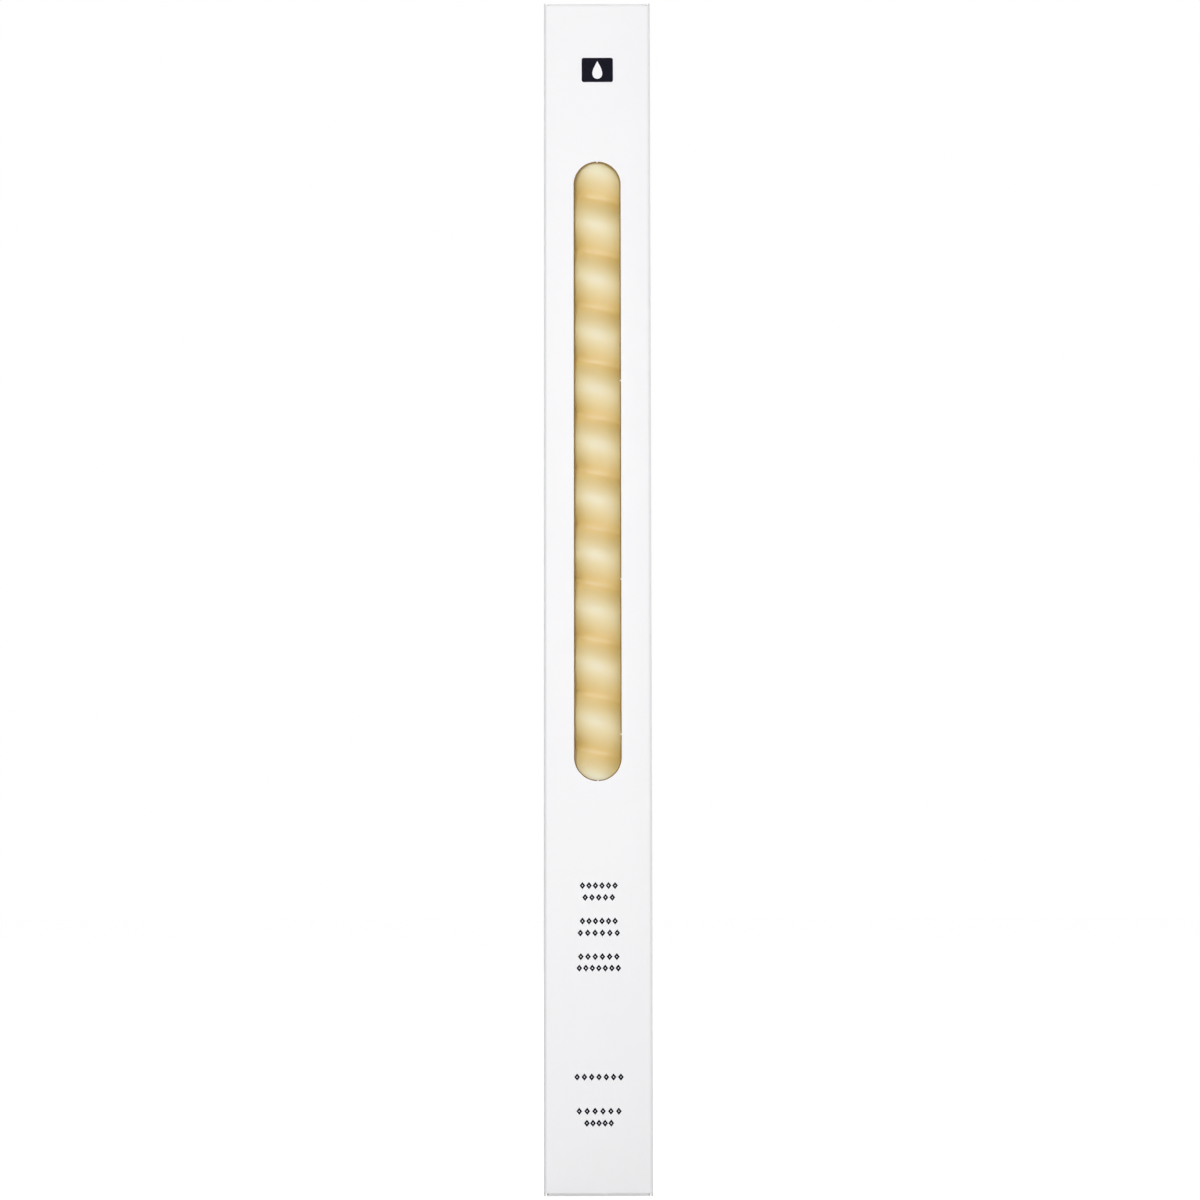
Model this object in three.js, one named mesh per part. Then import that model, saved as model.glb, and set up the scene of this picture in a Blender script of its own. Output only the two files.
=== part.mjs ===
// A spiral candle standing in its slim white window carton.
// Millimetres, +Z up. The carton stands on z = 0 with its middle on the Z axis and its front towards -Y.
// The carton is one folded board: four panels and a glue flap make the tube, and each end is closed by a
// lid hinged on the back panel, with a tongue that tucks behind the front, over two dust flaps.

import * as THREE from 'three';

// Candle
const candleDiameter = 24; // over the ridges
const candleLength = 280; // from the foot to the tip of the wick
const wickLength = 12; // stands out of the wax
const wickDiameter = 2.2;
const wickFit = 0.3; // wick to the bore that it lies in
const wickRecess = 1; // lower end of the wick, up inside the foot
const spiralPitch = 13.47; // one turn of the single left-handed ridge
const grooveDepth = 2.4; // from ridge to groove
const grooveRounding = 0.2; // 0 meets in a sharp crease between round ridges, more rounds the crease
const ridgeHeight = 178.9; // above the ground, where a ridge crosses the middle of the front
const footInset = 1.2; // the plain foot's radius is less than the ridges' by this
const footLength = 16;
const footBlend = 8; // the foot runs out into the spiral over this length
const footChamfer = 0.6;
const tipLength = 16; // the shoulder that rounds in to the wick
const tipShare = 0.3; // the radius left at the top of that shoulder, as a share

// Carton
const boardThickness = 0.4;
const candleFit = 0.5; // ridges to the carton's walls
const seatGap = 0.3; // foot of the candle to the flaps it stands on
const headRoom = 4.5; // tip of the wick to the flaps above it
const flapFit = 0.3; // a flap, lid or tongue to the board it lies beside
const edgeDrop = 0.7; // cut edges of the front panel, in from the lids' outer faces
const glueFlapWidth = 8;
const glueFlapTaper = 4; // its free edge is shorter than its fold by this, at each end
const glueFlapInset = 3; // its fold, in from the side panel's ends

// Window, with round ends as wide as itself
const windowWidth = 11.4;
const windowBottomMargin = 97.8; // from the ground
const windowTopMargin = 39.2; // from the top of the carton

// Closures, the same at both ends
const creaseGap = 0.1; // clear of everything that turns past a crease
const lidSwing = 120; // degrees
const dustFlapSwing = 96; // degrees
const tongueLength = 10.5;
const tongueInset = 0.7; // narrower than the inside of the carton, each side
const tongueTaper = 0.8; // narrower again at its free edge, each side
const tongueCorner = 5;
const dustFlapMeet = 0.9; // a dust flap's free edge, from the middle of the carton
const dustFlapRearStart = 1; // its fold, from the inside of the back panel
const dustFlapRearSlope = 0.8; // how fast its rear edge runs in, which keeps it under the opening lid
const dustFlapFrontStart = 1; // its fold, from the tongue
const dustFlapFrontSlope = 0.31; // how fast its front edge runs in, out of the tongue's way
const dustFlapCorner = 1.5;

// Facets
const ringSegments = 24;
const stepsPerPitch = 10;
const wickSegments = 10;
const curveSegments = 8;

// Worked out from the sizes above
const innerHalf = candleDiameter / 2 + candleFit;
const outerHalf = innerHalf + boardThickness;
const closureDepth = 2 * boardThickness + flapFit; // lid, gap and dust flap
const candleFoot = closureDepth + seatGap;
const cartonHeight = candleFoot + candleLength + headRoom + closureDepth;
const waxLength = candleLength - wickLength;
const tongueFace = innerHalf - flapFit - boardThickness; // inner face of the tongue, from the middle
const lidHalf = innerHalf - flapFit;

const boardMaterial = () => new THREE.MeshStandardMaterial({ color: 0xf2f2f5, roughness: 0.6, metalness: 0 });
const waxMaterial = () => new THREE.MeshStandardMaterial({ color: 0xeee0b8, roughness: 0.45, metalness: 0 });
const wickMaterial = () => new THREE.MeshStandardMaterial({ color: 0xeeeae0, roughness: 0.9, metalness: 0 });

const carton = new THREE.Group();

function addPiece(name, geometry, material) {
  const piece = new THREE.Mesh(geometry, material);
  piece.name = name;
  carton.add(piece);
}

const axisX = new THREE.Vector3(1, 0, 0);
const axisY = new THREE.Vector3(0, 1, 0);
const axisZ = new THREE.Vector3(0, 0, 1);

// A piece of board cut to an outline. The outline's x runs along acrossAxis and its y along upAxis,
// and the board's thickness lies on the far side of the outline from the viewer, along across x up.
function boardPiece(outline, acrossAxis, upAxis, origin) {
  const geometry = new THREE.ExtrudeGeometry(outline, {
    depth: boardThickness,
    bevelEnabled: false,
    curveSegments,
  });
  const thicknessAxis = new THREE.Vector3().crossVectors(acrossAxis, upAxis);
  const placed = new THREE.Matrix4().makeBasis(acrossAxis, upAxis, thicknessAxis).setPosition(origin);
  return geometry.applyMatrix4(placed);
}

function polygon(points) {
  return new THREE.Shape(points.map(([x, y]) => new THREE.Vector2(x, y)));
}

// An outline whose corners from the third on are rounded; the first two lie on the fold.
function foldedOutline(points, cornerRadius) {
  const corners = points.map(([x, y]) => new THREE.Vector2(x, y));
  const outline = new THREE.Shape();
  outline.moveTo(corners[0].x, corners[0].y);
  outline.lineTo(corners[1].x, corners[1].y);
  for (let i = 2; i < corners.length; i += 1) {
    const corner = corners[i];
    const before = corners[i - 1].clone().sub(corner);
    const after = corners[(i + 1) % corners.length].clone().sub(corner);
    const reach = Math.min(cornerRadius, before.length() / 2, after.length() / 2);
    const start = corner.clone().add(before.setLength(reach));
    const end = corner.clone().add(after.setLength(reach));
    outline.lineTo(start.x, start.y);
    outline.quadraticCurveTo(corner.x, corner.y, end.x, end.y);
  }
  outline.closePath();
  return outline;
}

// Depth that a board's outer corner turns through past its crease, when it swings beyond a right angle
function creaseRelief(swing) {
  const past = Math.max(0, swing - 90);
  return boardThickness * Math.sin(THREE.MathUtils.degToRad(past)) + creaseGap;
}

// Tube

function windowOutline() {
  const radius = windowWidth / 2;
  const low = windowBottomMargin + radius;
  const high = cartonHeight - windowTopMargin - radius;
  const outline = new THREE.Path();
  outline.moveTo(radius, low);
  outline.lineTo(radius, high);
  outline.absarc(0, high, radius, 0, Math.PI, false);
  outline.lineTo(-radius, low);
  outline.absarc(0, low, radius, Math.PI, 2 * Math.PI, false);
  return outline;
}

function addFrontPanel() {
  const low = edgeDrop;
  const high = cartonHeight - edgeDrop;
  const outline = polygon([
    [-outerHalf, low],
    [outerHalf, low],
    [outerHalf, high],
    [-outerHalf, high],
  ]);
  outline.holes.push(windowOutline());
  const origin = new THREE.Vector3(0, -innerHalf, 0);
  addPiece('front_panel', boardPiece(outline, axisX, axisZ, origin), boardMaterial());
}

function addBackPanel() {
  const low = boardThickness + creaseRelief(lidSwing);
  const high = cartonHeight - low;
  const outline = polygon([
    [-outerHalf, low],
    [outerHalf, low],
    [outerHalf, high],
    [-outerHalf, high],
  ]);
  const origin = new THREE.Vector3(0, outerHalf, 0);
  addPiece('back_panel', boardPiece(outline, axisX, axisZ, origin), boardMaterial());
}

// Where a dust flap's fold starts at the back and ends at the front
const flapFoldRear = innerHalf - dustFlapRearStart;
const flapFoldFront = -(tongueFace - dustFlapFrontStart);

// A side panel ends at its dust flap's fold, with a narrow ear beside the fold at each corner that runs
// out level with the lid. The carton stands on the four lower ears.
function addSidePanel(name, innerFaceX) {
  const foldLow = closureDepth + creaseRelief(dustFlapSwing);
  const foldHigh = cartonHeight - foldLow;
  const rear = flapFoldRear + flapFit;
  const front = flapFoldFront - flapFit;
  const outline = polygon([
    [-innerHalf, 0],
    [front, 0],
    [front, foldLow],
    [rear, foldLow],
    [rear, 0],
    [innerHalf, 0],
    [innerHalf, cartonHeight],
    [rear, cartonHeight],
    [rear, foldHigh],
    [front, foldHigh],
    [front, cartonHeight],
    [-innerHalf, cartonHeight],
  ]);
  const lowerX = Math.min(innerFaceX, innerFaceX + Math.sign(innerFaceX) * boardThickness);
  const origin = new THREE.Vector3(lowerX, 0, 0);
  addPiece(name, boardPiece(outline, axisY, axisZ, origin), boardMaterial());
}

// Folded from the back panel and glued to the inside of the left side panel
function addGlueFlap() {
  const low = glueFlapInset + closureDepth;
  const high = cartonHeight - low;
  const outline = polygon([
    [innerHalf, low],
    [innerHalf, high],
    [innerHalf - glueFlapWidth, high - glueFlapTaper],
    [innerHalf - glueFlapWidth, low + glueFlapTaper],
  ]);
  const origin = new THREE.Vector3(-innerHalf, 0, 0);
  addPiece('glue_flap', boardPiece(outline, axisY, axisZ, origin), boardMaterial());
}

// Closures. Each is drawn for one end by the height of its faces, so that both ends share the shapes.

function addLid(name, lowerFaceZ) {
  const outline = polygon([
    [-lidHalf, -(tongueFace + boardThickness)],
    [lidHalf, -(tongueFace + boardThickness)],
    [lidHalf, innerHalf],
    [-lidHalf, innerHalf],
  ]);
  addPiece(name, boardPiece(outline, axisX, axisY, new THREE.Vector3(0, 0, lowerFaceZ)), boardMaterial());
}

// inward is +1 where the tongue points up from the bottom lid, -1 where it hangs from the top lid.
function addTongue(name, lidInnerFaceZ, inward) {
  const foldHalf = innerHalf - tongueInset;
  const freeHalf = foldHalf - tongueTaper;
  const outline = foldedOutline(
    [
      [-foldHalf, lidInnerFaceZ + inward * creaseGap],
      [foldHalf, lidInnerFaceZ + inward * creaseGap],
      [freeHalf, lidInnerFaceZ + inward * tongueLength],
      [-freeHalf, lidInnerFaceZ + inward * tongueLength],
    ],
    tongueCorner,
  );
  const origin = new THREE.Vector3(0, -tongueFace, 0);
  addPiece(name, boardPiece(outline, axisX, axisZ, origin), boardMaterial());
}

// side is -1 for the left flap and +1 for the right one.
function addDustFlap(name, lowerFaceZ, side) {
  const reach = innerHalf - dustFlapMeet;
  const outline = foldedOutline(
    [
      [side * innerHalf, flapFoldRear],
      [side * innerHalf, flapFoldFront],
      [side * dustFlapMeet, flapFoldFront + dustFlapFrontSlope * reach],
      [side * dustFlapMeet, flapFoldRear - dustFlapRearSlope * reach],
    ],
    dustFlapCorner,
  );
  addPiece(name, boardPiece(outline, axisX, axisY, new THREE.Vector3(0, 0, lowerFaceZ)), boardMaterial());
}

function addClosures() {
  addLid('top_lid', cartonHeight - boardThickness);
  addTongue('top_tuck_tongue', cartonHeight - boardThickness, -1);
  addDustFlap('top_left_dust_flap', cartonHeight - closureDepth, -1);
  addDustFlap('top_right_dust_flap', cartonHeight - closureDepth, 1);
  addLid('bottom_lid', 0);
  addTongue('bottom_tuck_tongue', boardThickness, 1);
  addDustFlap('bottom_left_dust_flap', boardThickness + flapFit, -1);
  addDustFlap('bottom_right_dust_flap', boardThickness + flapFit, 1);
}

// Candle

// Radius of the endless spiral. The angle runs from the front towards +X, and a ridge falls as it grows.
function spiralRadius(angle, height) {
  const turns = (height - ridgeHeight) / spiralPitch + angle / (2 * Math.PI);
  const rounded = Math.hypot(Math.cos(Math.PI * turns), grooveRounding) - grooveRounding;
  const crest = rounded / (Math.hypot(1, grooveRounding) - grooveRounding);
  return candleDiameter / 2 - grooveDepth * (1 - crest);
}

// Radius of the wax at a height above its own foot: plain foot, spiral, then a rounded shoulder
function waxRadius(angle, above) {
  const footRadius = candleDiameter / 2 - footInset;
  const blend = THREE.MathUtils.smoothstep(above, footLength, footLength + footBlend);
  const body = THREE.MathUtils.lerp(footRadius, spiralRadius(angle, candleFoot + above), blend);
  const along = Math.max(0, (above - (waxLength - tipLength)) / tipLength);
  return body * Math.sqrt(1 - (1 - tipShare ** 2) * along ** 2);
}

function ringOf(radiusAt, height) {
  const ring = [];
  for (let i = 0; i < ringSegments; i += 1) {
    const angle = (i / ringSegments) * 2 * Math.PI;
    const radius = radiusAt(angle);
    ring.push([radius * Math.sin(angle), -radius * Math.cos(angle), height]);
  }
  return ring;
}

// A closed skin through rings of points. The last ring joins the first, so it encloses a bore.
function skinOfRings(rings) {
  const positions = rings.flat(2);
  const index = [];
  for (let row = 0; row < rings.length; row += 1) {
    const here = row * ringSegments;
    const above = ((row + 1) % rings.length) * ringSegments;
    for (let i = 0; i < ringSegments; i += 1) {
      const next = (i + 1) % ringSegments;
      index.push(here + i, here + next, above + i);
      index.push(here + next, above + next, above + i);
    }
  }
  const geometry = new THREE.BufferGeometry();
  geometry.setAttribute('position', new THREE.Float32BufferAttribute(positions, 3));
  geometry.setIndex(index);
  return geometry;
}

function addWax() {
  const boreRadius = wickDiameter / 2 + wickFit;
  const rings = [ringOf((angle) => waxRadius(angle, 0) - footChamfer, candleFoot)];
  const spiralStart = footLength;
  const steps = Math.round(((waxLength - spiralStart) / spiralPitch) * stepsPerPitch);
  rings.push(ringOf((angle) => waxRadius(angle, footChamfer), candleFoot + footChamfer));
  for (let step = 0; step <= steps; step += 1) {
    const above = spiralStart + ((waxLength - spiralStart) * step) / steps;
    rings.push(ringOf((angle) => waxRadius(angle, above), candleFoot + above));
  }
  rings.push(ringOf(() => boreRadius, candleFoot + waxLength));
  rings.push(ringOf(() => boreRadius, candleFoot));
  addPiece('spiral_wax_body', skinOfRings(rings), waxMaterial());
}

function addWick() {
  const length = candleLength - wickRecess;
  const geometry = new THREE.CylinderGeometry(wickDiameter / 2, wickDiameter / 2, length, wickSegments);
  geometry.rotateX(Math.PI / 2);
  geometry.translate(0, 0, candleFoot + wickRecess + length / 2);
  addPiece('wick', geometry, wickMaterial());
}

addFrontPanel();
addBackPanel();
addSidePanel('left_side_panel', -innerHalf);
addSidePanel('right_side_panel', innerHalf);
addGlueFlap();
addClosures();
addWax();
addWick();

export default carton;
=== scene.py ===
# %% [markdown]
# A spiral candle in its slim white window carton, built in Blender round a CAD frame.
# The frame fixes every size. This script gives each piece the shape and the finish of the real one.
# Lengths are in metres, as Blender has them, and mm turns millimetres into them.

# %% Load the frame
import math

import bmesh
import bpy
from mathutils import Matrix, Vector


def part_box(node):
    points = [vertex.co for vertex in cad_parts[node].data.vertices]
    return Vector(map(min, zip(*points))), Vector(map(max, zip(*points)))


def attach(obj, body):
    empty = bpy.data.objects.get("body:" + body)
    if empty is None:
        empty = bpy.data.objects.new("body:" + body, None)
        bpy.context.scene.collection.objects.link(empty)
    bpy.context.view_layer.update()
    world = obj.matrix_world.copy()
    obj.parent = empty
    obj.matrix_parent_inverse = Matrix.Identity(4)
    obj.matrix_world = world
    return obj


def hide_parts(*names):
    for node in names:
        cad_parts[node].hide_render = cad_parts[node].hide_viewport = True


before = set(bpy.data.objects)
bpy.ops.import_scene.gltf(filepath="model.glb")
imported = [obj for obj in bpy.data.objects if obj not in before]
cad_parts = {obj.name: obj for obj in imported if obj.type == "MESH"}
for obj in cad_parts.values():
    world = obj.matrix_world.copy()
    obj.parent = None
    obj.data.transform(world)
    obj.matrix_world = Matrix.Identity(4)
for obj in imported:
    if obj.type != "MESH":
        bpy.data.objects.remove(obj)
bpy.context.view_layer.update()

mm = 0.001

# %% [markdown]
# The camera comes first, because it says what has to look right. The real picture was taken from
# a little above the table, looking slightly up at a carton that almost fills the frame, so the
# carton's sides run together towards the top. Distance, height and tilt were worked out from
# those sides.

# %% Camera
camera_distance = 762.9 * mm  # from the middle of the carton
camera_aside = 0.46 * mm  # to the right of the carton's middle
camera_height = 77.3 * mm
camera_tilt = math.radians(4.864)
camera_roll = math.radians(0.089)
picture_width = 1200  # pixels
focal_length = 3142.3  # pixels
sensor = 36  # millimetres, as camera makers give it
near_clip = 10 * mm
far_clip = 20

bpy.ops.object.select_all(action="DESELECT")
bpy.ops.object.camera_add(
    location=(camera_aside, -camera_distance, camera_height),
    rotation=(math.pi / 2 + camera_tilt, camera_roll, 0),
)
camera = bpy.context.object
camera.data.sensor_width = sensor
camera.data.lens = focal_length / picture_width * sensor
camera.data.clip_start = near_clip
camera.data.clip_end = far_clip
bpy.context.scene.camera = camera
print("camera:", round(camera.data.lens, 1), "mm lens at", round(camera_distance / mm), "mm")

# %% [markdown]
# Every size below is read from the frame: the carton's outer and inner walls, its board, and the
# height at which each end folds. A change in the CAD then carries through to these pieces.

# %% Sizes from the frame
front_low, front_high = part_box("front_panel")
side_low, side_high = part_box("right_side_panel")
lid_low, lid_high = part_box("top_lid")
tongue_low, tongue_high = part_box("top_tuck_tongue")
flap_low, flap_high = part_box("top_right_dust_flap")
glue_low, glue_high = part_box("glue_flap")

outer = side_high.x  # outside of the walls, from the middle
inner = side_low.x  # inside of the walls
board = outer - inner
height = side_high.z
lid_fold = lid_low.z  # height of the crease that the top lid turns on
flap_fold = flap_low.z  # height of the crease that the top dust flaps turn on
print("board", round(board / mm, 2), "mm, carton", round(2 * outer / mm, 1), "mm square")

# %% [markdown]
# Shaders first, so that each piece can wear its finish as soon as it is made. Sums on shader
# values are easiest to read as sums, so a Wire wraps a socket, and + - * / on it add the Math
# nodes. Paint holds one material and adds any other node.

# %% Shader sums
class Wire:
    def __init__(self, paint, socket):
        self.paint = paint
        self.socket = socket

    def math(self, operation, *others):
        values = dict(enumerate((self, *others)))
        return self.paint.node("ShaderNodeMath", {"operation": operation}, values)

    def __add__(self, other):
        return self.math("ADD", other)

    def __radd__(self, other):
        return self.math("ADD", other)

    def __sub__(self, other):
        return self.math("SUBTRACT", other)

    def __rsub__(self, other):
        return self.paint.node("ShaderNodeMath", {"operation": "SUBTRACT"}, {0: other, 1: self})

    def __mul__(self, other):
        return self.math("MULTIPLY", other)

    def __truediv__(self, other):
        return self.math("DIVIDE", other)

    def __pow__(self, other):
        return self.math("POWER", other)

    def clamped(self):
        return self.math("MAXIMUM", 0).math("MINIMUM", 1)


class Paint:
    def __init__(self, name, owners=bpy.data.materials):
        self.owner = owners.new(name)
        self.owner.use_nodes = True
        self.tree = self.owner.node_tree
        self.tree.nodes.clear()

    def node(self, kind, settings, values, output=0):
        made = self.tree.nodes.new(kind)
        for key, setting in settings.items():
            setattr(made, key, setting)
        for key, value in values.items():
            if isinstance(value, Wire):
                self.tree.links.new(value.socket, made.inputs[key])
            else:
                made.inputs[key].default_value = value
        return Wire(self, made.outputs[output])

    def place(self):
        return self.node("ShaderNodeTexCoord", {}, {}, "Object")

    def axes(self):
        parts = self.node("ShaderNodeSeparateXYZ", {}, {0: self.place()})
        outputs = parts.socket.node.outputs
        return [Wire(self, outputs[name]) for name in "XYZ"]

    def noise(self, scale, detail=2, stretch=(1, 1, 1)):
        placed = self.node("ShaderNodeMapping", {}, {"Vector": self.place(), "Scale": stretch})
        values = {"Vector": placed, "Scale": scale, "Detail": detail}
        return self.node("ShaderNodeTexNoise", {}, values)

    def blend(self, share, first, second):
        settings = {"data_type": "RGBA", "clamp_factor": True}
        return self.node("ShaderNodeMix", settings, {0: share, 6: first, 7: second}, 2)

    def bump(self, heights, strength, depth):
        values = {"Height": heights, "Strength": strength, "Distance": depth}
        return self.node("ShaderNodeBump", {}, values)

    def surface(self, values):
        return self.finished(self.node("ShaderNodeBsdfPrincipled", {}, values))

    def finished(self, shader, output="ShaderNodeOutputMaterial"):
        self.tree.links.new(shader.socket, self.tree.nodes.new(output).inputs["Surface"])
        return self.owner


print("shader sums ready")

# %% [markdown]
# Folding board is a sandwich: a smooth coated outside that takes the print, a duller uncoated
# inside, and a raw edge where the knife went through the fibres. The window's rim has a fourth
# finish of its own, a dark brown that is painted shade. The coating is faintly mottled and cooler
# than the raw edge, and greyer along the corner folds, which is painted shade.

# %% Board finishes
# painted shade along the corner folds: its width and its share of grey
fold_shade_width = 0.8 * mm
fold_shade_grey = 0.2  # share of grey in the coating on a fold


def coated_board():
    paint = Paint("coated_board")
    mottle = paint.noise(260, 3)
    cloud = paint.noise(28, 2)
    fibres = paint.noise(2600, 2, (1, 1, 0.35))
    tone = (mottle * 0.35 + cloud * 0.65).clamped()
    colour = paint.blend(tone, (0.84, 0.845, 0.875, 1), (0.885, 0.888, 0.903, 1))
    x, y, _ = paint.axes()
    corner = x.math("ABSOLUTE") + y.math("ABSOLUTE")
    # painted shade: the coating is greyed along the corner folds
    painted_fold_shade = ((corner - (2 * outer - fold_shade_width)) / (fold_shade_width / 2)).clamped()
    return paint.surface({
        "Base Color": paint.blend(painted_fold_shade * fold_shade_grey, colour, (0.2, 0.2, 0.22, 1)),
        "Roughness": 0.42 + mottle * 0.12,
        "Normal": paint.bump(fibres * 0.5 + cloud, 0.12, 0.05 * mm),
        "Specular IOR Level": 0.35,
    })


def inside_board():
    paint = Paint("inside_board")
    fibres = paint.noise(1800, 3, (1, 1, 0.3))
    flecks = paint.noise(900, 1)
    colour = paint.blend(fibres, (0.86, 0.78, 0.62, 1), (0.93, 0.87, 0.74, 1))
    return paint.surface({
        "Base Color": paint.blend((flecks * 4 - 2.6).clamped(), colour, (0.6, 0.56, 0.5, 1)),
        "Roughness": 0.8 + fibres * 0.1,
        "Normal": paint.bump(fibres, 0.3, 0.05 * mm),
        "Specular IOR Level": 0.25,
    })


def raw_edge():
    paint = Paint("raw_edge")
    plies = paint.noise(5200, 2)
    colour = paint.blend(plies, (0.62, 0.59, 0.55, 1), (0.8, 0.785, 0.76, 1))
    return paint.surface({
        "Base Color": colour,
        "Roughness": 0.9 + plies * 0.05,
        "Normal": paint.bump(plies, 0.5, 0.04 * mm),
        "Specular IOR Level": 0.2,
    })


# painted shade: a dark brown that stands in for the shade behind the window's rim
def painted_rim_shade():
    paint = Paint("painted_rim_shade")
    rim_shade_mottle = paint.noise(1300, 3)
    return paint.surface({
        "Base Color": paint.blend(rim_shade_mottle, (0.2, 0.11, 0.025, 1), (0.4, 0.25, 0.08, 1)),
        "Roughness": 0.5 + rim_shade_mottle * 0.2,
        "Specular IOR Level": 0.4,
    })


board_finishes = [coated_board(), inside_board(), raw_edge()]
print("board finishes:", [finish.name for finish in board_finishes])

# %% [markdown]
# A few helpers for working as by hand. sheet adds a flat piece at its size. pick selects by
# place, because a script can't click. fold turns an edge round a crease, which is how a folded
# board gets its round corner.

# %% Helpers for board
same_place = 0.01 * mm  # points closer than this count as one place
round_steps = 5  # faces round a fold or a corner


def sheet(name, centre, size, turn=(0, 0, 0)):
    bpy.ops.object.select_all(action="DESELECT")
    bpy.ops.mesh.primitive_plane_add(size=1, location=centre, rotation=turn)
    piece = bpy.context.object
    piece.name = name
    piece.scale = (size[0], size[1], 1)
    bpy.ops.object.transform_apply(location=True, rotation=True, scale=True)
    return piece


def edit(piece):
    bpy.ops.object.select_all(action="DESELECT")
    bpy.context.view_layer.objects.active = piece
    piece.select_set(True)
    bpy.ops.object.mode_set(mode="EDIT")


def done():
    bpy.ops.object.mode_set(mode="OBJECT")


def pick(kind, test):
    bpy.ops.mesh.select_mode(type=kind)
    bpy.ops.mesh.select_all(action="DESELECT")
    shape = bmesh.from_edit_mesh(bpy.context.edit_object.data)
    found = 0
    for part in {"VERT": shape.verts, "EDGE": shape.edges, "FACE": shape.faces}[kind]:
        corners = [part] if kind == "VERT" else part.verts
        middle = sum((corner.co for corner in corners), Vector()) / len(corners)
        if test(middle, part):
            part.select_set(True)
            found += 1
    shape.select_flush_mode()
    bmesh.update_edit_mesh(bpy.context.edit_object.data)
    return found


def slice_at(place, normal):
    bpy.ops.mesh.select_all(action="SELECT")
    bpy.ops.mesh.bisect(plane_co=place, plane_no=normal)


def grow(direction):
    bpy.ops.mesh.extrude_edges_move(TRANSFORM_OT_translate={"value": direction})


def fold(test, centre, axis, angle=math.pi / 2, steps=round_steps):
    found = pick("EDGE", test)
    bpy.ops.mesh.spin(steps=steps, angle=-angle, center=centre, axis=axis)
    return found


def on(value, target):
    return abs(value - target) < same_place


print("helpers ready")

# %% [markdown]
# Modifiers are applied as soon as they are added, so that each finished mesh is what it looks
# like. thicken gives a skin its board, with the three finishes on its outside, inside and edge.

# %% Apply a modifier
weld = 0.002 * mm  # corners closer than this become one
smooth_angle = math.radians(40)  # sharper edges than this stay sharp


def apply(piece, kind, **settings):
    modifier = piece.modifiers.new(kind.title(), kind)
    for key, value in settings.items():
        setattr(modifier, key, value)
    bpy.ops.object.select_all(action="DESELECT")
    bpy.context.view_layer.objects.active = piece
    piece.select_set(True)
    bpy.ops.object.modifier_apply(modifier=modifier.name)


def thicken(piece, thickness=board):
    for finish in board_finishes:
        piece.data.materials.append(finish)
    apply(
        piece, "SOLIDIFY", thickness=thickness, offset=-1,
        use_even_offset=True, material_offset=1, material_offset_rim=2,
    )
    edit(piece)
    bpy.ops.mesh.select_all(action="SELECT")
    bpy.ops.mesh.remove_doubles(threshold=weld)
    bpy.ops.mesh.select_all(action="SELECT")
    bpy.ops.mesh.normals_make_consistent(inside=False)
    done()
    bpy.ops.object.shade_smooth_by_angle(angle=smooth_angle)


print("modifier helpers ready")

# %% [markdown]
# The sleeve is one strip of board folded round four corners. It could be five boxes, but then
# every corner would be a butt joint. So it starts as the front's outer face and is folded on from
# edge to edge: right side, back, and the narrow flap that is glued inside the left side. The
# corners are then rounded as a scored fold is.

# %% Fold the sleeve's skin
corner_radius = 0.7 * mm
glue_width = outer - glue_low.y

sleeve = sheet("carton_sleeve", (0, -outer, height / 2), (2 * outer, height), (math.pi / 2, 0, 0))
edit(sleeve)
pick("EDGE", lambda m, e: on(m.x, outer))
grow((0, 2 * outer, 0))
grow((-(outer + inner), 0, 0))
grow((0, -glue_width, 0))
pick("EDGE", lambda m, e: on(m.x, -outer) and on(m.y, -outer))
grow((0, outer + inner, 0))
folds = pick("EDGE", lambda m, e: len(e.link_faces) == 2)
bpy.ops.mesh.bevel(offset=corner_radius, segments=round_steps, affect="EDGES")
done()
print("sleeve:", folds, "folds,", len(sleeve.data.polygons), "faces")

# %% [markdown]
# Each end of the real sleeve is cut to a different height on each side: the front ends in a plain
# cut, the back runs on into the lid's crease, and the sides run on into the dust flaps' creases
# between four small ears. The skin is sliced at those heights, and what is outside the outline is
# deleted. Two more slices at each end keep the small faces there out of the long walls.

# %% Cut the ends of the sleeve
front_cut = front_low.z
flap_fold_front = -10.8 * mm  # the two ends of a dust flap's fold
flap_fold_rear = 11.5 * mm
ear_gap = 0.3 * mm  # from an ear to the flap beside it
ear_front = flap_fold_front - ear_gap
ear_rear = flap_fold_rear + ear_gap
glue_end = glue_low.z
fold_levels = (height - lid_fold, front_cut, height - flap_fold, glue_end)
extra_levels = (5 * mm, 12 * mm)


def both_ends(level):
    return (level, height - level)


edit(sleeve)
for level in fold_levels + extra_levels:
    for z in both_ends(level):
        slice_at((0, 0, z), (0, 0, 1))
for y in (ear_front, ear_rear):
    slice_at((0, y, 0), (0, 1, 0))


def past(z, level):
    return z < level or z > height - level


def outside(m, f):
    front = m.y < -inner
    back = m.y > inner - corner_radius / 2 and abs(m.x) < outer - same_place
    flapped = abs(m.x) > inner + same_place and ear_front < m.y < ear_rear
    glued = on(m.x, -inner) and m.y < outer - corner_radius
    return (
        (front and past(m.z, front_cut))
        or (back and past(m.z, height - lid_fold))
        or (flapped and past(m.z, height - flap_fold))
        or (glued and past(m.z, glue_end))
    )


waste = pick("FACE", outside)
bpy.ops.mesh.delete(type="FACE")
done()
print("sleeve ends:", waste, "faces of waste cut off")

# %% [markdown]
# A crease in board isn't sharp outside: the skin runs round a quarter circle as thick as the
# board, about the inner corner that the flap turns on. These quarter circles belong to the
# sleeve, so they stay put when a lid or flap swings, and the swinging board covers them.

# %% Round the creases at both ends
def is_end_edge(e):
    return len(e.link_faces) == 1 and on(e.verts[0].co.z, e.verts[1].co.z)


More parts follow.
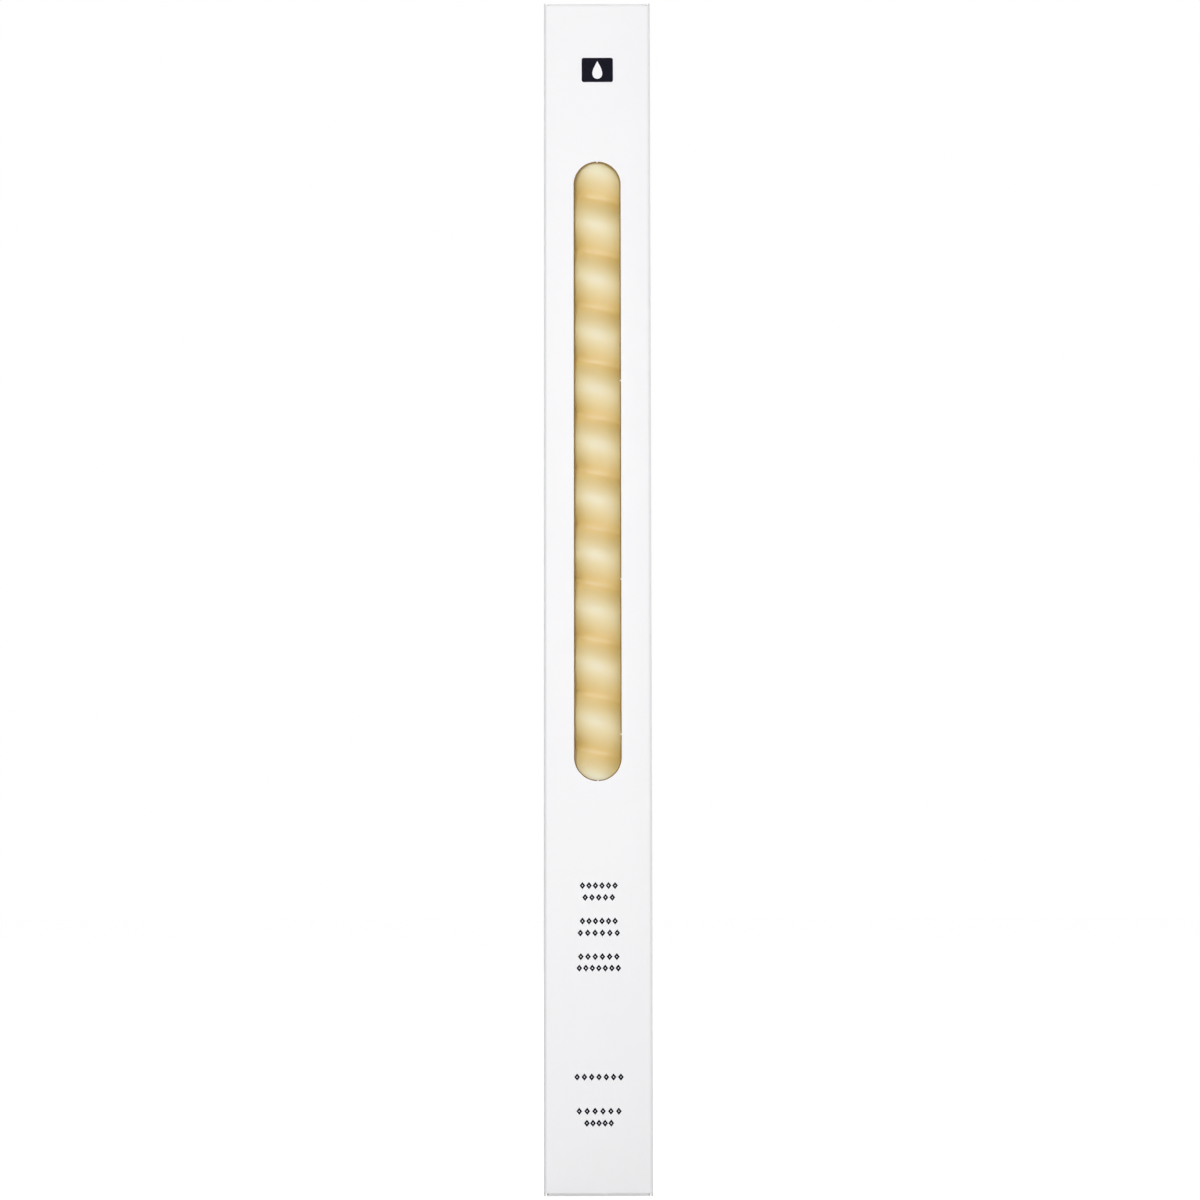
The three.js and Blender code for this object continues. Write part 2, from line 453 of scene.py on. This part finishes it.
edit(sleeve)
for z, way in ((lid_fold, 1), (height - lid_fold, -1)):
    fold(
        lambda m, e: is_end_edge(e) and on(m.z, z) and on(m.y, outer),
        (0, inner, z), (way, 0, 0),
    )
for z, way in ((flap_fold, 1), (height - flap_fold, -1)):
    for side in (-1, 1):
        fold(
            lambda m, e: is_end_edge(e) and on(m.z, z) and on(m.x, side * outer),
            (side * inner, 0, z), (0, -way * side, 0),
        )
bpy.ops.mesh.select_all(action="SELECT")
bpy.ops.mesh.normals_make_consistent(inside=False)
done()
thicken(sleeve)
print("sleeve with creases:", len(sleeve.data.polygons), "faces")

# %% [markdown]
# The window is knifed out of the front, a slot with ends as round as it is wide. The knife leaves
# the edge a little sloped, so the cutter is a cone, stretched in the middle to the slot's height,
# and a Boolean cuts it out. Where the waste held on until it was pushed out, it left tiny teeth
# in the rim, so small blocks are taken off the cutter there first. The new faces between the
# board's two sides are the rim, and they get a dark brown finish of their own, painted shade.

# %% Cut the window
window_width = 11.4 * mm
window_bottom = 97.8 * mm
window_top = height - 39.2 * mm
window_points = 96  # corners round the cutter
tooth_width = 0.28 * mm
tooth_reach = 0.3 * mm
tooth_heights = (194.2 * mm, 146.2 * mm, 109 * mm)  # up the window's right side
edge_slope = 0.25 * mm  # how much narrower each side of the slot is at the board's inner face

window_radius = window_width / 2
arch_low = window_bottom + window_radius
arch_high = window_top - window_radius
cutter_depth = 6 * board
flare = edge_slope * cutter_depth / board / 2
sliver = 0.001 * mm  # edges shorter than this are dissolved after the cut
rim_skin = board / 8  # a rim face's middle is deeper in the board than this
rim_margin = 1 * mm  # how far round the window the rim is looked for


def solid(name, centre, size):
    bpy.ops.object.select_all(action="DESELECT")
    bpy.ops.mesh.primitive_cube_add(size=1, location=centre)
    piece = bpy.context.object
    piece.name = name
    piece.scale = size
    bpy.ops.object.transform_apply(location=True, rotation=True, scale=True)
    return piece


def combine(piece, tool, operation):
    apply(piece, "BOOLEAN", object=tool, operation=operation, solver="EXACT")
    bpy.data.objects.remove(tool)


bpy.ops.object.select_all(action="DESELECT")
bpy.ops.mesh.primitive_cone_add(
    vertices=window_points, depth=cutter_depth,
    radius1=window_radius - flare, radius2=window_radius + flare,
    location=(0, -outer, arch_high), rotation=(math.pi / 2, 0, 0),
)
cutter = bpy.context.object
bpy.ops.object.transform_apply(location=True, rotation=True, scale=True)
edit(cutter)
pick("VERT", lambda m, v: m.z < arch_high - same_place)
bpy.ops.transform.translate(value=(0, 0, arch_low - arch_high))
done()

teeth = [(0, window_top), (0, window_bottom)]
teeth += [(window_radius, z) for z in tooth_heights]
for x, z in teeth:
    size = (tooth_width, cutter_depth * 2, 2 * tooth_reach)
    if x:
        size = (2 * tooth_reach, cutter_depth * 2, tooth_width)
    combine(cutter, solid("tooth", (x, -outer, z), size), "DIFFERENCE")
combine(sleeve, cutter, "DIFFERENCE")
# the rim's finish is painted shade
sleeve.data.materials.append(painted_rim_shade())
sleeve.active_material_index = len(board_finishes)
edit(sleeve)
bpy.ops.mesh.select_all(action="SELECT")
bpy.ops.mesh.dissolve_degenerate(threshold=sliver)
rim = pick(
    "FACE",
    lambda m, f: -outer + rim_skin < m.y < -inner - rim_skin
    and abs(m.x) < window_width
    and window_bottom - rim_margin < m.z < window_top + rim_margin,
)
bpy.ops.object.material_slot_assign()
done()
bpy.ops.object.shade_smooth_by_angle(angle=smooth_angle)
print("window:", round((window_top - window_bottom) / mm), "mm tall")
print("window's rim:", rim, "faces,", len(teeth), "teeth")

# %% [markdown]
# Each end is closed by a lid, the tongue that it tucks in with, and two dust flaps under it. They
# are flat sheets cut to shape, so each starts as a plane, and the tongue's and the flaps' corners
# are moved and rounded. The lid's front edge and the tongue's top edge both curl round the crease
# between them. The tongue's curl is a hair smaller, so it slides out from under the lid's as the
# tongue folds in.

# %% Lid, tongue and dust flap of the top
flap_gap = 0.9 * mm  # free edge of a dust flap to the carton's middle
flap_rear_slope = 0.8  # how far the rear edge runs in, over the flap's reach
flap_front_slope = 0.31
flap_corner = 1.5 * mm
tongue_taper = 0.8 * mm
tongue_corner = 5 * mm
tongue_steps = 8  # faces round a corner of the tongue
nested = 0.02 * mm  # how much smaller the tongue's curl is

lid_crease_y = tongue_high.y


def make_lid():
    length = inner - lid_crease_y
    piece = sheet(
        "lid", (0, (inner + lid_crease_y) / 2, height), (2 * lid_high.x, length),
    )
    edit(piece)
    fold(lambda m, e: on(m.y, lid_crease_y), (0, lid_crease_y, lid_fold), (1, 0, 0))
    done()
    thicken(piece)
    return piece


def make_tongue():
    low = tongue_low.z
    face = lid_low.y + nested
    piece = sheet(
        "tongue", (0, face, (low + lid_fold) / 2), (2 * tongue_high.x, lid_fold - low),
        (math.pi / 2, 0, 0),
    )
    edit(piece)
    for side in (-1, 1):
        pick("VERT", lambda m, v: on(m.z, low) and side * m.x > 0)
        bpy.ops.transform.translate(value=(-side * tongue_taper, 0, 0))
    pick("VERT", lambda m, v: on(m.z, low))
    bpy.ops.mesh.bevel(offset=tongue_corner, segments=tongue_steps, affect="VERTICES")
    fold(lambda m, e: on(m.z, lid_fold), (0, lid_crease_y, lid_fold), (-1, 0, 0))
    done()
    thicken(piece, board - nested)
    return piece


def make_dust_flap():
    reach = inner - flap_gap
    fold_rear, fold_front = flap_high.y, flap_low.y
    piece = sheet(
        "dust_flap", ((inner + flap_gap) / 2, (fold_rear + fold_front) / 2, flap_high.z),
        (reach, fold_rear - fold_front),
    )
    edit(piece)
    pick("VERT", lambda m, v: on(m.x, flap_gap) and on(m.y, fold_rear))
    bpy.ops.transform.translate(value=(0, -flap_rear_slope * reach, 0))
    pick("VERT", lambda m, v: on(m.x, flap_gap) and on(m.y, fold_front))
    bpy.ops.transform.translate(value=(0, flap_front_slope * reach, 0))
    pick("VERT", lambda m, v: on(m.x, flap_gap))
    bpy.ops.mesh.bevel(offset=flap_corner, segments=round_steps, affect="VERTICES")
    done()
    thicken(piece)
    return piece


lid, tongue, dust_flap = make_lid(), make_tongue(), make_dust_flap()
print("closure pieces:", [len(piece.data.polygons) for piece in (lid, tongue, dust_flap)], "faces")

# %% [markdown]
# The other flaps are the same shapes turned over, so each is a mirrored copy with a mesh of its
# own. A mirror turns a mesh inside out, and its faces are then flipped back.

# %% Copy the closures to both sides and both ends
def mirrored(piece, name, axis):
    copy = piece.copy()
    copy.data = piece.data.copy()
    copy.name = name
    bpy.context.scene.collection.objects.link(copy)
    size = [-1 if letter == axis else 1 for letter in "xyz"]
    edit(copy)
    bpy.ops.mesh.select_all(action="SELECT")
    bpy.ops.transform.resize(value=size, center_override=(0, 0, height / 2))
    bpy.ops.mesh.flip_normals()
    done()
    return copy


closures = {
    "top_lid": lid,
    "top_tuck_tongue": tongue,
    "top_right_dust_flap": dust_flap,
    "top_left_dust_flap": mirrored(dust_flap, "left", "x"),
}
for name in list(closures):
    closures[name.replace("top", "bottom")] = mirrored(closures[name], "bottom", "z")
for name, piece in closures.items():
    piece.name = name + "_board"
    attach(piece, name)
    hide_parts(name)
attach(sleeve, "carton_tube")
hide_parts("front_panel", "back_panel", "left_side_panel", "right_side_panel", "glue_flap")
print("closures:", sorted(piece.name for piece in closures.values()))

# %% [markdown]
# The candle is one ridge wound to the left round a round bar. Cut level, it gives the same
# egg-shaped slice at every height, only turned. So the slice is drawn once, from the ridge's
# wave, and a Screw modifier winds it up the candle. The wave is a row of round ridges, and the
# crease where they meet is rounded.

# %% Wind the candle
spiral_pitch = 13.47 * mm
groove_depth = 2.4 * mm
groove_rounding = 0.2  # 0 is a sharp crease between the ridges
ridge_height = 178.9 * mm  # where a ridge crosses the middle of the front
slice_points = 96  # corners round the slice
steps_per_turn = 36

wax_low, wax_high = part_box("spiral_wax_body")
wick_low, wick_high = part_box("wick")
candle_radius = 12 * mm
wax_length = wax_high.z - wax_low.z


def wave_radius(turns):
    rounded = math.hypot(math.cos(math.pi * turns), groove_rounding) - groove_rounding
    crest = rounded / (math.hypot(1, groove_rounding) - groove_rounding)
    return candle_radius - groove_depth * (1 - crest)


bpy.ops.object.select_all(action="DESELECT")
bpy.ops.mesh.primitive_circle_add(vertices=slice_points, radius=1, location=(0, 0, 0))
candle = bpy.context.object
candle.name = "spiral_candle_wax"
for corner in candle.data.vertices:
    angle = math.atan2(corner.co.x, -corner.co.y)
    start = (wax_low.z - ridge_height) / spiral_pitch + angle / (2 * math.pi)
    corner.co = corner.co.normalized() * wave_radius(start)
    corner.co.z = wax_low.z
turns = wax_length / spiral_pitch
steps = round(steps_per_turn * turns)
apply(
    candle, "SCREW", axis="Z", angle=-2 * math.pi * turns, screw_offset=wax_length,
    steps=steps, render_steps=steps, use_smooth_shade=True,
)
print("candle:", round(turns, 1), "turns,", len(candle.data.polygons), "faces")

# %% [markdown]
# A wound bar would end as it runs, but the real candle stands on a plain round foot that fits a
# holder and closes in a rounded shoulder round its wick. Both are changes of radius with height,
# so each point is moved in or out by a rule. The ends are then closed, with a recess under the
# foot where the wick starts.

# %% Foot and shoulder
foot_radius = 10.8 * mm
foot_length = 16 * mm
foot_blend = 8 * mm  # height over which the foot turns into the spiral
foot_chamfer = 0.6 * mm
tip_length = 16 * mm
tip_share = 0.3  # the wax's radius at its very top, over its full radius
wick_fit = 0.3 * mm
bore_radius = wick_high.x + wick_fit
collar_rise = 0.5 * mm  # the small cone of wax that climbs the wick
collar_taper = 0.7


def eased(share):
    share = min(max(share, 0), 1)
    return share * share * (3 - 2 * share)


for corner in candle.data.vertices:
    above = corner.co.z - wax_low.z
    spiral_radius = corner.co.to_2d().length
    radius = foot_radius + (spiral_radius - foot_radius) * eased((above - foot_length) / foot_blend)
    radius -= max(0, foot_chamfer - above)
    along = max(0, (above - wax_length + tip_length) / tip_length)
    radius *= math.sqrt(1 - (1 - tip_share ** 2) * along ** 2)
    corner.co.xy = corner.co.to_2d() * (radius / spiral_radius)

edit(candle)
pick("EDGE", lambda m, e: len(e.link_faces) == 1 and on(m.z, wax_low.z))
bpy.ops.mesh.edge_face_add()
bpy.ops.mesh.inset(thickness=foot_radius - foot_chamfer - bore_radius)
bpy.ops.mesh.extrude_region_move(
    TRANSFORM_OT_translate={"value": (0, 0, wick_low.z - wax_low.z)},
)
pick("EDGE", lambda m, e: len(e.link_faces) == 1 and on(m.z, wax_high.z))
bpy.ops.mesh.edge_face_add()
bpy.ops.mesh.inset(thickness=collar_rise)
bpy.ops.mesh.extrude_region_move(TRANSFORM_OT_translate={"value": (0, 0, collar_rise)})
bpy.ops.transform.resize(
    value=(collar_taper, collar_taper, 1), center_override=(0, 0, wax_high.z + collar_rise),
)
bpy.ops.mesh.select_all(action="SELECT")
bpy.ops.mesh.normals_make_consistent(inside=False)
done()
bpy.ops.object.shade_smooth_by_angle(angle=smooth_angle)
print("candle:", round(foot_length / mm), "mm foot,", len(candle.data.polygons), "faces")

# %% [markdown]
# Wax is cloudy. Light goes in, loses its blue and comes out warm, so the wax itself is golden,
# and some scattering softens its shade. The grooves get a deeper, darker gold, which is painted
# shade. Where it faces the lamp it looks pale ivory. A strong, soft gloss with a cool tint gives
# that, and a noise breaks it up.
# Both stand in for what goes on inside real wax.

# %% Wax finish
scatter_depth = 3 * mm


def wax():
    paint = Paint("ivory_wax")
    x, y, _ = paint.axes()
    radius = (x * x + y * y) ** 0.5
    # painted shade: a share that runs from the grooves to the ridges
    ridge_vs_groove_shade = ((radius - (candle_radius - groove_depth)) / groove_depth).clamped()
    cloud = paint.noise(90, 3)
    grain = paint.noise(900, 2)
    tone = (ridge_vs_groove_shade + cloud * 0.25 - 0.12).clamped()
    return paint.surface({
        # painted shade: a deeper, darker gold in the grooves, a paler one on the ridges
        "Base Color": paint.blend(tone, (0.9, 0.62, 0.16, 1), (0.88, 0.7, 0.32, 1)),
        "Roughness": 0.58 - tone * 0.06 + cloud * 0.12,
        "Normal": paint.bump(cloud + grain * 0.2, 0.25, 0.2 * mm),
        "Subsurface Weight": 0.6,
        "Subsurface Radius": (1.0, 0.9, 0.8),
        "Subsurface Scale": scatter_depth,
        "Specular IOR Level": 1.0,
        "Specular Tint": (0.3, 0.62, 1, 1),
        "IOR": 1.88,
    })


candle.data.materials.append(wax())
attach(candle, "candle")
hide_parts("spiral_wax_body")
print("wax on", candle.name)

# %% [markdown]
# The wick is cotton cord. Three strands wound round each other look like one from close by, and a
# strand is only a small circle beside the middle, wound up by a Screw modifier and copied a third
# of a turn on.

# %% Wick
strand_radius = 0.52 * mm
lay_length = 5.5 * mm  # one turn of a strand
strand_count = 3
strand_points = 8  # corners round a strand
strand_steps = 14  # steps along it in each turn
strand_smooth_angle = math.radians(50)
wick_length = wick_high.z - wick_low.z


def make_strand(share):
    offset = wick_high.x - strand_radius
    turn = 2 * math.pi * share
    bpy.ops.object.select_all(action="DESELECT")
    bpy.ops.mesh.primitive_circle_add(
        vertices=strand_points, radius=strand_radius,
        location=(offset * math.cos(turn), offset * math.sin(turn), wick_low.z),
    )
    strand = bpy.context.object
    bpy.ops.object.transform_apply(location=True, rotation=True, scale=True)
    turns = wick_length / lay_length
    steps = round(turns * strand_steps)
    apply(
        strand, "SCREW", axis="Z", angle=2 * math.pi * turns, screw_offset=wick_length,
        steps=steps, render_steps=steps, use_smooth_shade=True,
    )
    edit(strand)
    for z in (wick_low.z, wick_high.z):
        pick("EDGE", lambda m, e: len(e.link_faces) == 1 and on(m.z, z))
        bpy.ops.mesh.edge_face_add()
    bpy.ops.mesh.select_all(action="SELECT")
    bpy.ops.mesh.normals_make_consistent(inside=False)
    done()
    return strand


strands = [make_strand(number / strand_count) for number in range(strand_count)]
bpy.ops.object.select_all(action="DESELECT")
for strand in strands:
    strand.select_set(True)
wick = strands[0]
bpy.context.view_layer.objects.active = wick
bpy.ops.object.join()
wick.name = "twisted_wick"
bpy.ops.object.shade_smooth_by_angle(angle=strand_smooth_angle)


def cotton():
    paint = Paint("wick_cotton")
    yarn = paint.noise(2400, 3, (1, 1, 0.25))
    return paint.surface({
        "Base Color": paint.blend(yarn, (0.7, 0.64, 0.5, 1), (0.88, 0.85, 0.76, 1)),
        "Roughness": 0.85 + yarn * 0.1,
        "Normal": paint.bump(yarn, 0.6, 0.1 * mm),
        "Sheen Weight": 0.3,
    })


wick.data.materials.append(cotton())
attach(wick, "candle")
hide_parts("wick")
print("wick:", len(wick.data.polygons), "faces")

# %% [markdown]
# The front carries a little dark print, a plain ornament: a candle flame on a small plaque above
# the window, and rows of open lozenges below it. Ink has no thickness to speak of, so each mark
# is a thin slip of mesh that lies on the board. One lozenge is made first.

# %% Ink and the lozenge
ink_thickness = 0.03 * mm


def ink():
    paint = Paint("printing_ink")
    wear = paint.noise(1500, 2)
    return paint.surface({
        "Base Color": paint.blend(wear, (0.004, 0.004, 0.009, 1), (0.012, 0.012, 0.022, 1)),
        "Roughness": 0.6 + wear * 0.15,
        "Specular IOR Level": 0.04,
    })


print_ink = ink()


def finish_ink(piece, material):
    piece.data.materials.append(material)
    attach(piece, "carton_tube")


def slip(name, vertices, place, size):
    bpy.ops.object.select_all(action="DESELECT")
    bpy.ops.mesh.primitive_circle_add(
        vertices=vertices, radius=0.5, fill_type="NGON",
        location=(place[0], -outer, place[1]), rotation=(math.pi / 2, 0, 0),
    )
    piece = bpy.context.object
    piece.name = name
    piece.scale = (size[0], size[1], 1)
    bpy.ops.object.transform_apply(location=True, rotation=True, scale=True)
    return piece


def raise_ink(piece, layers=1):
    edit(piece)
    bpy.ops.mesh.select_all(action="SELECT")
    bpy.ops.mesh.extrude_region_move(
        TRANSFORM_OT_translate={"value": (0, -layers * ink_thickness, 0)},
    )
    bpy.ops.mesh.select_all(action="SELECT")
    bpy.ops.mesh.normals_make_consistent(inside=False)
    done()


lozenge_width = 1.35 * mm
lozenge_height = 1.7 * mm
lozenge_line = 0.4 * mm
lozenge_corners = 4

lozenge = slip("lozenge", lozenge_corners, (0, 0), (lozenge_width, lozenge_height))
edit(lozenge)
bpy.ops.mesh.select_all(action="SELECT")
bpy.ops.mesh.inset(thickness=lozenge_line)
bpy.ops.mesh.delete(type="FACE")
done()
raise_ink(lozenge)
print("lozenge:", len(lozenge.data.polygons), "faces")

# %% [markdown]
# The lozenges of a row are copies of the first, spread evenly over the row's width and joined
# into one piece. The rows differ in width and stand in small groups.

# %% Rows of lozenges
row_middle = 0.15 * mm  # to the right of the carton's middle
rows = (  # width and number of lozenges, and height above the ground, in millimetres
    (9.1, 6, 73.0), (7.8, 5, 70.2), (9.1, 6, 64.6), (10.1, 6, 61.8), (9.9, 6, 56.2),
    (10.6, 7, 53.5), (11.7, 7, 27.9), (10.7, 6, 19.9), (7.1, 5, 17.1),
)

for number, (width, count, z) in enumerate(rows, start=1):
    step = (width * mm - lozenge_width) / (count - 1)
    copies = []
    for place in range(count):
        copy = lozenge.copy()
        copy.data = lozenge.data.copy()
        bpy.context.scene.collection.objects.link(copy)
        copy.location = (row_middle + (place - (count - 1) / 2) * step, 0, z * mm)
        copies.append(copy)
    bpy.ops.object.select_all(action="DESELECT")
    for copy in copies:
        copy.select_set(True)
    bpy.context.view_layer.objects.active = copies[0]
    bpy.ops.object.join()
    bpy.ops.object.transform_apply(location=True, rotation=True, scale=True)
    copies[0].name = f"ink_row_{number}"
    finish_ink(copies[0], print_ink)
bpy.data.objects.remove(lozenge)
print("rows:", len(rows))

# %% [markdown]
# The plaque is a dark rectangle with soft corners. Its flame is where the ink was left out, so it
# wears the board's own coating. A flame's outline is a circle drawn in towards one end.

# %% Plaque and flame
plaque_size = (7.6 * mm, 6 * mm)
plaque_place = (0.1 * mm, 270.4 * mm)
plaque_corner = 0.5 * mm
flame_size = (3.3 * mm, 4.4 * mm)
flame_pinch = 1.3  # how sharply the flame draws in to its tip
flame_points = 32
flame_layers = 2  # of ink thickness, so that it stands clear of the plaque

plaque = solid(
    "ink_plaque", (plaque_place[0], -outer - ink_thickness / 2, plaque_place[1]),
    (plaque_size[0], ink_thickness, plaque_size[1]),
)
edit(plaque)
pick("EDGE", lambda m, e: abs(e.verts[0].co.y - e.verts[1].co.y) > ink_thickness / 2)
bpy.ops.mesh.bevel(offset=plaque_corner, segments=round_steps, affect="EDGES")
done()
finish_ink(plaque, print_ink)

flame = slip("ink_plaque_flame", flame_points, (0, 0), (1, 1))
for corner in flame.data.vertices:
    turn = math.atan2(corner.co.x, -corner.co.z)
    pinch = abs(math.cos(turn / 2)) ** flame_pinch
    corner.co.x = plaque_place[0] + math.sin(turn) * pinch * flame_size[0] / 2
    corner.co.z = plaque_place[1] - math.cos(turn) * flame_size[1] / 2
raise_ink(flame, flame_layers)
finish_ink(flame, board_finishes[0])
print("plaque:", [round(size / mm, 1) for size in plaque_size], "mm")

# %% [markdown]
# The carton stands on a plain white table that runs back out of sight. What the camera sees of
# table and world is white, as in a studio, while the light that they throw on the carton stays at
# a plain level. The table keeps the carton's soft shadow. Of four broad lamps the key stands in
# front, about as high as the camera, and makes the wax shine. One at the right lights that side,
# one behind at the left the back, and one above the top.

# %% Table, world and lamps
table_size = 8  # metres
table_glow = 0.96  # how white the camera sees it, before its own light
room_light = 0.18


def seen(paint):
    ray = paint.tree.nodes.new("ShaderNodeLightPath").outputs
    kinds = ("Is Camera Ray", "Is Glossy Ray", "Is Transmission Ray")
    return sum(Wire(paint, ray[kind]) for kind in kinds).clamped()


def backdrop(paint, dull, shown):
    return paint.node("ShaderNodeMixShader", {}, {0: seen(paint), 1: dull, 2: shown})


def white_table():
    paint = Paint("white_table")
    dull = paint.node("ShaderNodeBsdfDiffuse", {}, {"Color": (0.8, 0.8, 0.8, 1)})
    shade = paint.node("ShaderNodeBsdfDiffuse", {}, {"Color": (0.2, 0.2, 0.2, 1)})
    glow = paint.node("ShaderNodeEmission", {}, {"Color": (1, 1, 1, 1), "Strength": table_glow})
    shown = paint.node("ShaderNodeAddShader", {}, {0: shade, 1: glow})
    return paint.finished(backdrop(paint, dull, shown))


def studio():
    paint = Paint("studio", bpy.data.worlds)
    cool = {"Color": (0.97, 0.98, 1, 1), "Strength": room_light}
    room = paint.node("ShaderNodeBackground", {}, cool)
    white = paint.node("ShaderNodeBackground", {}, {"Color": (1, 1, 1, 1), "Strength": 1})
    return paint.finished(backdrop(paint, room, white), "ShaderNodeOutputWorld")


table = sheet("table", (0, 0, 0), (table_size, table_size))
table.data.materials.append(white_table())
bpy.context.scene.world = studio()


def lamp(name, place, aim, size, power, colour):
    bpy.ops.object.select_all(action="DESELECT")
    bpy.ops.object.light_add(type="AREA", location=place)
    made = bpy.context.object
    made.name = name
    made.rotation_euler = (Vector(aim) - Vector(place)).to_track_quat("-Z", "Y").to_euler()
    made.data.shape = "RECTANGLE"
    made.data.size, made.data.size_y = size
    made.data.energy = power
    made.data.color = colour


warm_white = (1, 0.99, 0.98)
lamp("key", (-0.06, -0.95, 0.28), (0, 0, 0.17), (0.26, 0.52), 5.85, (1, 0.99, 0.975))
lamp("right", (1.4, 0.3, 0.4), (0, 0, 0.14), (0.8, 0.8), 7.5, warm_white)
lamp("rear_left", (-0.8, 1.2, 0.6), (0, 0, 0.14), (0.8, 0.8), 11, warm_white)
lamp("above", (0, 0.5, 1.5), (0, 0, 0.28), (0.6, 0.6), 6, warm_white)
print("table, world and lamps ready")

# %% [markdown]
# Colours are shown as they are written.

# %% Finish
bpy.context.scene.view_settings.view_transform = "Standard"
